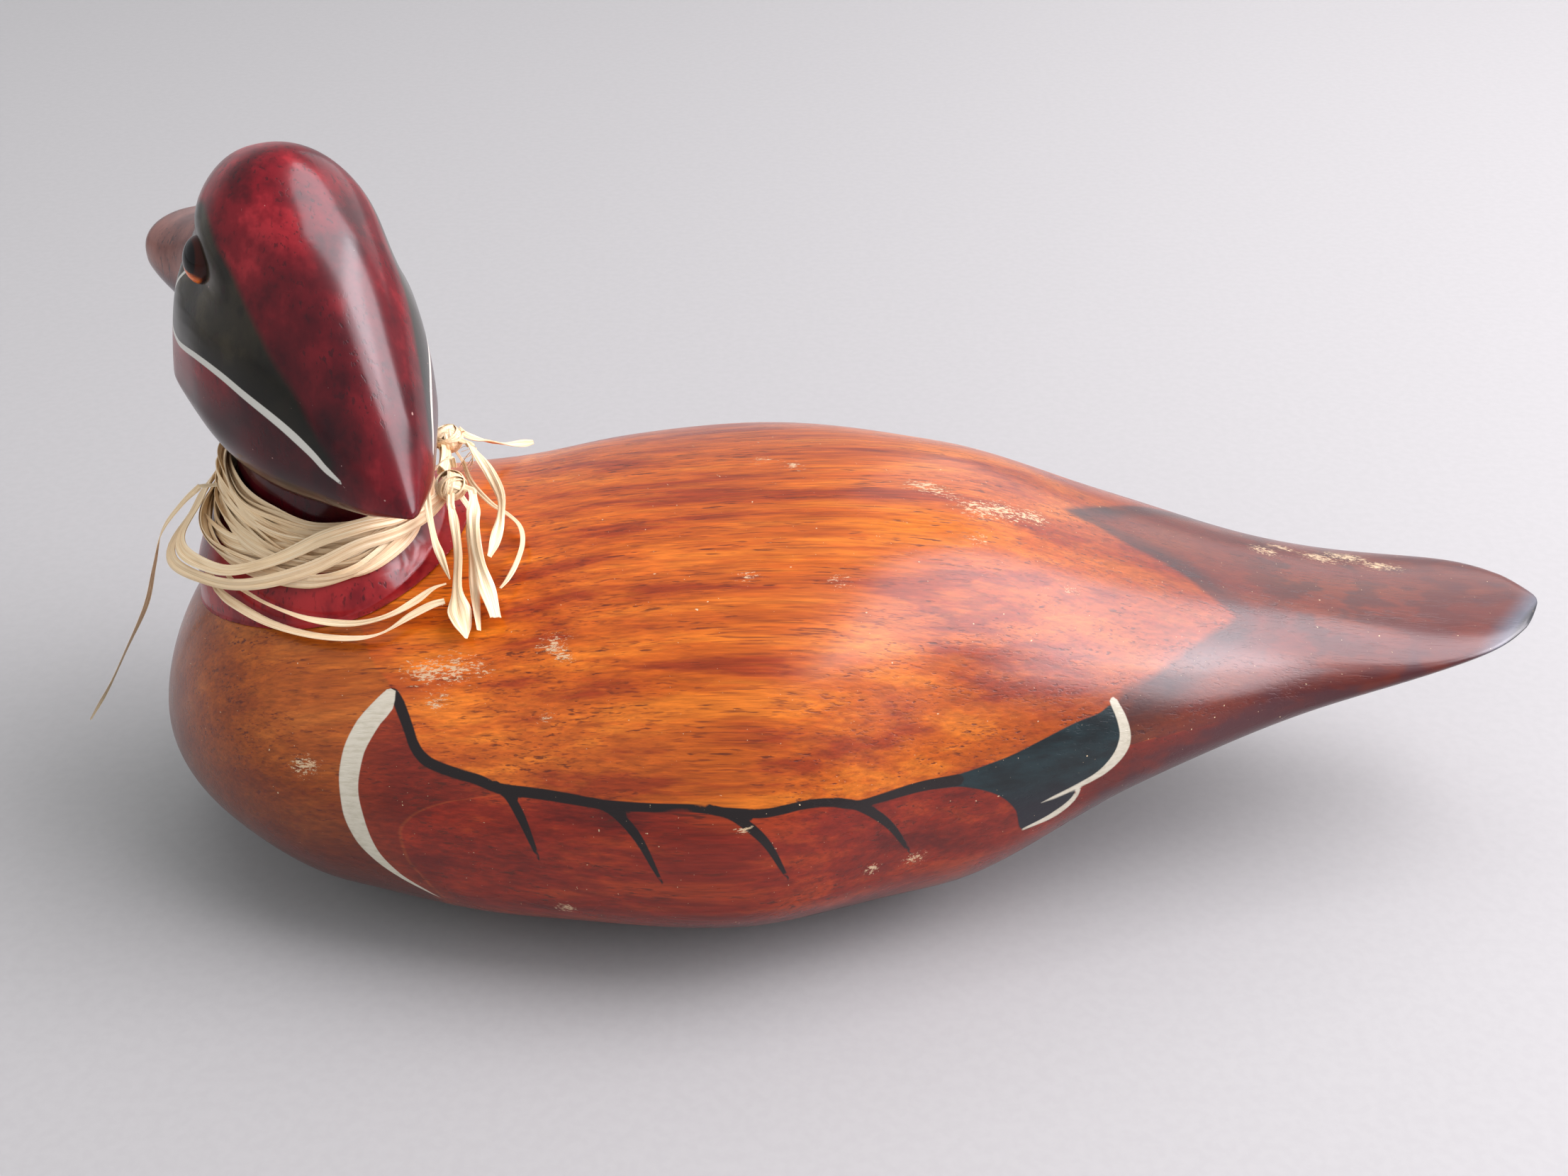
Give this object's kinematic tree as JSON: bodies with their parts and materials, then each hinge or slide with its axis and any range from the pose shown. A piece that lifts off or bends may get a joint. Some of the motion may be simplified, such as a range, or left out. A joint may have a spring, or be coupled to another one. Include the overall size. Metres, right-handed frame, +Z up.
{
  "type": "duck carving",
  "caption": "Carved and painted wooden duck that stands on its flat underside, with the head turned to one side, glass eyes and a raffia tie round the neck.",
  "frame": {"origin": "centre of the flat underside, half way along the body", "axes": "-X towards the breast, +X towards the tail, -Y towards the bird's left flank, +Z up"},
  "size_m": [0.3371, 0.1508, 0.1576],
  "materials": {
    "stained_wood": "gloss varnish over brown stain, with painted marks",
    "painted_wood": "gloss dark red paint, with a dark green patch and white lines",
    "eye_glass": "polished",
    "raffia": "matt natural palm fibre"
  },
  "bodies": {
    "root": {"body": "stained_wood", "head": "painted_wood", "eye_left": "eye_glass", "eye_right": "eye_glass", "raffia_collar": "raffia", "strand_front_outer": "raffia", "strand_front_inner": "raffia", "strand_tail_thin": "raffia", "strand_tail_wide": "raffia", "strand_tail_fold": "raffia", "strand_tail_middle": "raffia", "strand_loop_thick": "raffia", "strand_loop_thin": "raffia", "strand_back": "raffia", "strand_long": "raffia"}
  },
  "joints": []
}
